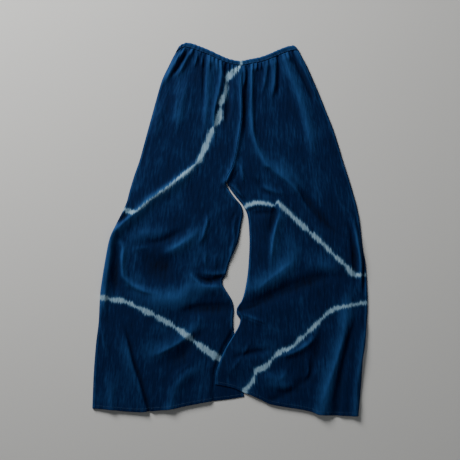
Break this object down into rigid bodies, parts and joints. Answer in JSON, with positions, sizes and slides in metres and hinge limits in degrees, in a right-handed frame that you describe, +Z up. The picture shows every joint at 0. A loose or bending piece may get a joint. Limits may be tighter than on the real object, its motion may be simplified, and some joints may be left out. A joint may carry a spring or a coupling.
{
  "type": "samue trousers, wide pull-on cotton trousers laid flat",
  "caption": "Wide-legged indigo cotton pull-on trousers with an elastic waist casing, laid flat and face up.",
  "frame": {"origin": "centre of the whole part's box in X and Y, on the surface that it lies on", "axes": "+X towards the wearer's left, +Y from the hems towards the waist, +Z up off the surface"},
  "size_m": [0.688, 0.9312, 0.0154],
  "materials": {
    "indigo_cotton": "matt crinkled cotton, indigo dyed with stitched-resist lines",
    "indigo_cotton_back": "matt crinkled cotton, indigo dyed"
  },
  "bodies": {
    "root": {"front_right": "indigo_cotton", "front_left": "indigo_cotton", "back_right": "indigo_cotton_back", "back_left": "indigo_cotton_back", "waist_casing_front": "indigo_cotton", "waist_casing_back": "indigo_cotton_back"}
  },
  "joints": []
}
